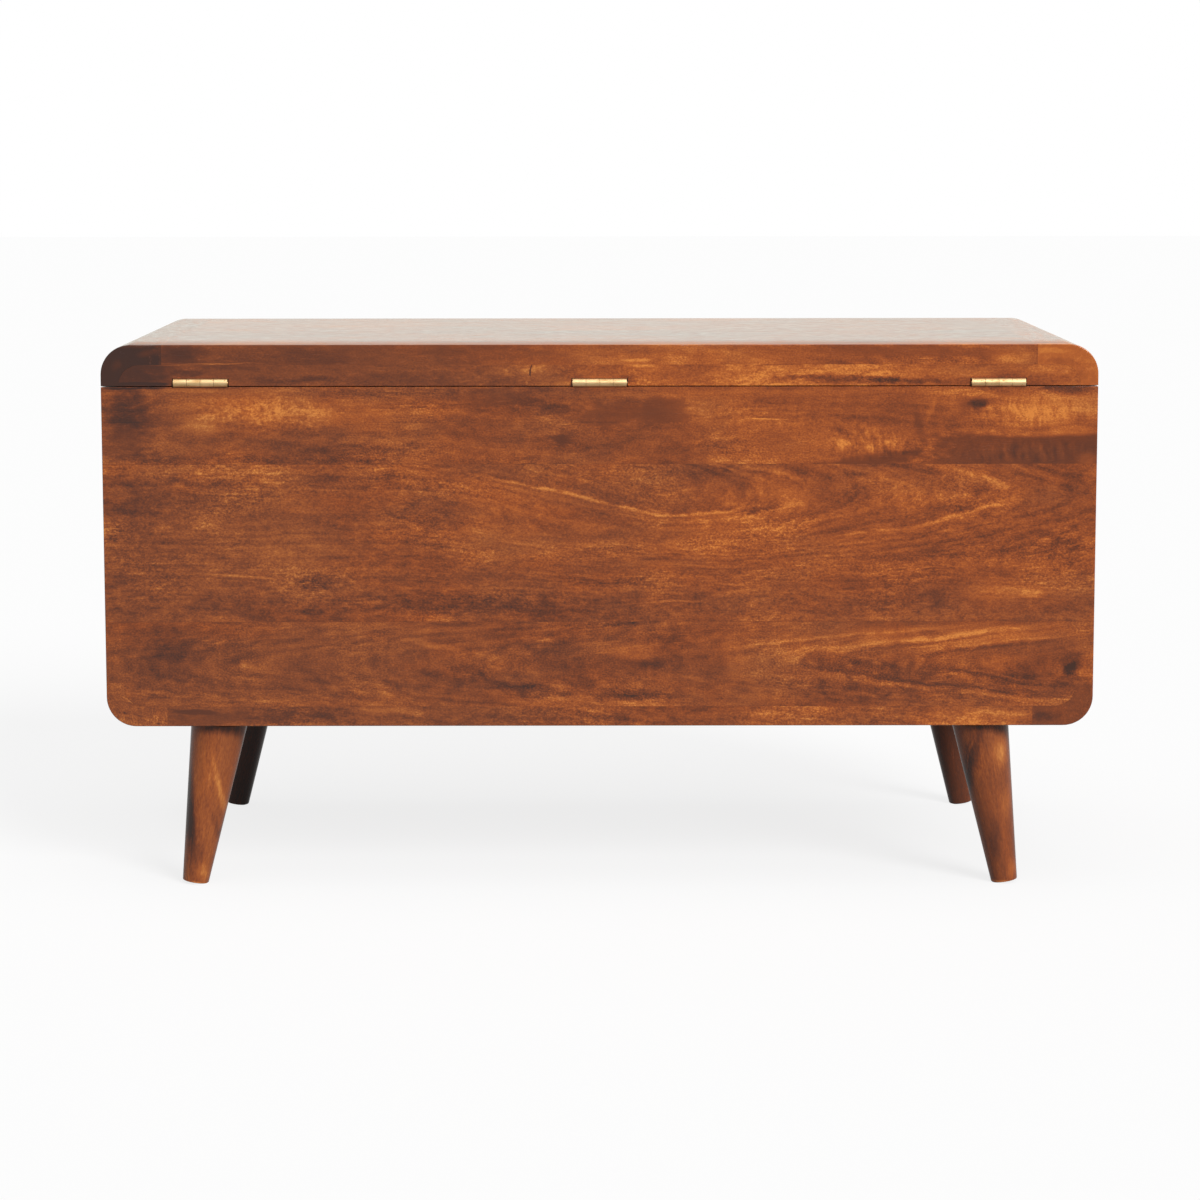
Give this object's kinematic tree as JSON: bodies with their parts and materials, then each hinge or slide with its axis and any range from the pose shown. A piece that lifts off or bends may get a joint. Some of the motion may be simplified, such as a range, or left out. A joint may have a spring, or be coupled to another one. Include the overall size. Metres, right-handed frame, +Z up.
{
  "type": "blanket chest",
  "caption": "Solid wood blanket chest with rounded corners, splayed tapered legs and a back-hinged lid held open by a sliding brass stay.",
  "frame": {"origin": "on the floor, below the middle of the chest", "axes": "+X to the right seen from the front, +Y to the back where the hinges are, +Z up"},
  "size_m": [0.9, 0.4537, 0.5],
  "materials": {
    "stained_wood": "reddish brown stained hardwood under satin lacquer",
    "leg_wood": "turned hardwood, stained and lacquered",
    "dowel_wood": "plain hardwood dowel",
    "brass": "polished brass, lightly aged",
    "steel": "zinc plated"
  },
  "bodies": {
    "box": {"bottom_board_1": "stained_wood", "bottom_board_2": "stained_wood", "bottom_board_3": "stained_wood", "bottom_board_4": "stained_wood", "lower_left_corner_block": "stained_wood", "lower_right_corner_block": "stained_wood", "left_side_board_low": "stained_wood", "left_side_board_middle": "stained_wood", "left_side_board_high": "stained_wood", "right_side_board_low": "stained_wood", "right_side_board_middle": "stained_wood", "right_side_board_high": "stained_wood", "back_plank_1": "stained_wood", "back_plank_2": "stained_wood", "back_plank_3": "stained_wood", "back_plank_4": "stained_wood", "front_plank_low": "stained_wood", "front_plank_middle": "stained_wood", "front_plank_high": "stained_wood", "front_left_leg": "leg_wood", "front_right_leg": "leg_wood", "back_left_leg": "leg_wood", "back_right_leg": "leg_wood", "leg_bolts": "steel", "leg_inserts": "brass", "box_dowels": "dowel_wood", "left_hinge_box_leaf": "brass", "middle_hinge_box_leaf": "brass", "right_hinge_box_leaf": "brass", "left_hinge_pin": "brass", "middle_hinge_pin": "brass", "right_hinge_pin": "brass", "box_hinge_screws": "brass", "stay_post": "brass", "stay_shoulder_screw": "brass"},
    "lid": {"lid_board_1": "stained_wood", "lid_board_2": "stained_wood", "lid_board_3": "stained_wood", "lid_board_4": "stained_wood", "lid_left_corner_block": "stained_wood", "lid_right_corner_block": "stained_wood", "lid_back_rail": "stained_wood", "lid_front_rail": "stained_wood", "lid_dowels": "dowel_wood", "left_hinge_lid_leaf": "brass", "middle_hinge_lid_leaf": "brass", "right_hinge_lid_leaf": "brass", "lid_hinge_screws": "brass", "stay_lid_bracket": "brass", "stay_bracket_screws": "brass", "stay_rivet": "brass"},
    "stay": {"stay_arm": "brass"}
  },
  "joints": [
    {"name": "lid_hinge", "type": "hinge", "parent": "box", "child": "lid", "pos_m": [0, 0.225, 0.4657], "axis": [-1, 0, 0], "range_deg": [0, 100]},
    {"name": "stay_pivot", "type": "hinge", "parent": "lid", "child": "stay", "pos_m": [0.417, 0.07516, 0.4727], "axis": [-1, 0, 0], "range_deg": [-50, 0]}
  ],
  "couplings": [
    {"joint": "stay_pivot", "follows": "lid_hinge", "ratio": -0.5}
  ]
}
